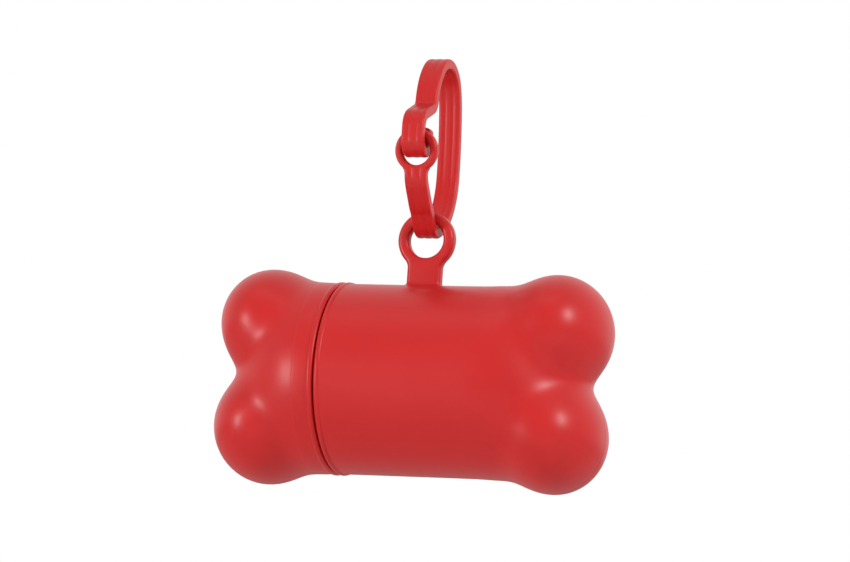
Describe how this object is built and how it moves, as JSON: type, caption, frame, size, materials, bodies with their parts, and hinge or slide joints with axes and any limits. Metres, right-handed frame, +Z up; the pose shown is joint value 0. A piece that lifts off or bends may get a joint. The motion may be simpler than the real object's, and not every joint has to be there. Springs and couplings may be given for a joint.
{
  "type": "pet waste bag dispenser",
  "caption": "Bone-shaped dispenser for pet waste bags: a hollow barrel with a bag slot behind, a pull-off end cap, a roll of bags, and a flexible hook-and-ring clip through a top eye.",
  "frame": {"origin": "the inner top of the clip's crown, where the lead passes", "axes": "+Z up, +X along the bone towards its closed end, +Y towards the bag slot"},
  "size_m": [0.0844, 0.0441, 0.0918],
  "materials": {
    "strap": "satin",
    "shell": "satin",
    "film": "smooth",
    "card": "uncoated card"
  },
  "bodies": {
    "clip": {"clip_strap": "strap"},
    "dispenser": {"barrel_front": "shell", "barrel_back": "shell"},
    "cap": {"cap_front": "shell", "cap_back": "shell"},
    "roll": {"roll_core": "card", "bag_roll": "film"},
    "leading": {"leading_bag": "film"}
  },
  "joints": [
    {"name": "bone_swing", "type": "hinge", "parent": "clip", "child": "dispenser", "pos_m": [0, -0.00223, -0.03209], "axis": [1, 0, 0], "range_deg": [-70, 70]},
    {"name": "cap_pull", "type": "slide", "parent": "dispenser", "child": "cap", "axis": [-1, 0, 0], "range_m": [0, 0.03]},
    {"name": "roll_turn", "type": "hinge", "parent": "dispenser", "child": "roll", "pos_m": [0, -0.00223, -0.07108], "axis": [-1, 0, 0], "range_deg": [0, 82]},
    {"name": "bag_pull", "type": "slide", "parent": "dispenser", "child": "leading", "axis": [0, 1, 0], "range_m": [0, 0.018]}
  ],
  "couplings": [
    {"joint": "bag_pull", "follows": "roll_turn", "m_per_rad": 0.01255}
  ]
}
